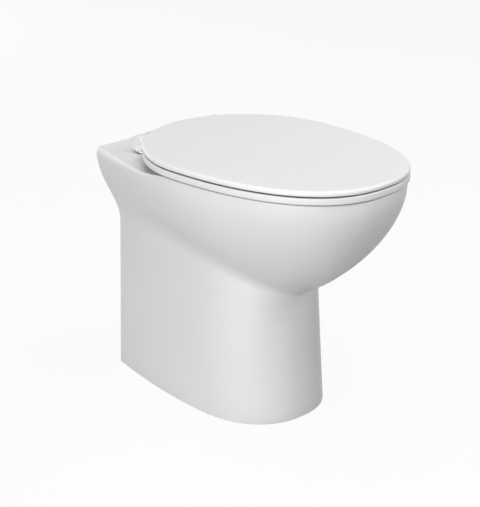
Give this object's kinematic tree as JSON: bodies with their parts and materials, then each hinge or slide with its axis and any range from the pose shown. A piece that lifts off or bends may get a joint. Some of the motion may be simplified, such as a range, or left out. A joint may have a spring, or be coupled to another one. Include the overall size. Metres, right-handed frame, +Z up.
{
  "type": "rimless toilet",
  "caption": "Back-to-wall toilet pan with a rimless bowl on a narrow skirted foot, with an oval seat and cover on soft-close barrel hinges.",
  "frame": {"origin": "on the floor, centred under the part, with the wall 264 mm behind it", "axes": "+Z up, +Y towards the wall, +X to the right of a person who faces the wall"},
  "size_m": [0.342, 0.528, 0.4397],
  "materials": {
    "glazed_china": "gloss",
    "seat_plastic": "gloss",
    "hinge_plastic": "gloss",
    "buffer_rubber": "matte",
    "guide_plastic": "satin",
    "steel": "brushed",
    "black_rubber": "matte",
    "nylon": "matte",
    "damper_plastic": "matte"
  },
  "bodies": {
    "base": {"pan": "glazed_china", "pan_back": "glazed_china", "flush_guide": "guide_plastic", "hinge_post_left": "hinge_plastic", "hinge_post_right": "hinge_plastic", "base_plate_left": "steel", "base_plate_right": "steel", "base_gasket_left": "black_rubber", "base_gasket_right": "black_rubber", "fixing_bolt_left": "steel", "fixing_bolt_right": "steel", "rubber_sleeve_left": "black_rubber", "rubber_sleeve_right": "black_rubber", "clamp_washer_left": "nylon", "clamp_washer_right": "nylon", "wing_nut_left": "nylon", "wing_nut_right": "nylon", "pivot_pin_left": "steel", "pivot_pin_right": "steel", "pin_screw_left": "steel", "pin_screw_right": "steel", "seat_damper_rotor": "nylon", "cover_damper_rotor": "nylon"},
    "seat": {"seat": "seat_plastic", "seat_buffers": "buffer_rubber", "seat_bush": "nylon", "seat_damper": "damper_plastic"},
    "cover": {"cover": "seat_plastic", "cover_buffers": "buffer_rubber", "cover_bush": "nylon", "cover_damper": "damper_plastic"}
  },
  "joints": [
    {"name": "seat_hinge", "type": "hinge", "parent": "base", "child": "seat", "pos_m": [0, 0.189, 0.4227], "axis": [-1, 0, 0], "range_deg": [0, 90]},
    {"name": "cover_hinge", "type": "hinge", "parent": "seat", "child": "cover", "pos_m": [0, 0.189, 0.4227], "axis": [-1, 0, 0], "range_deg": [0, 92]}
  ]
}
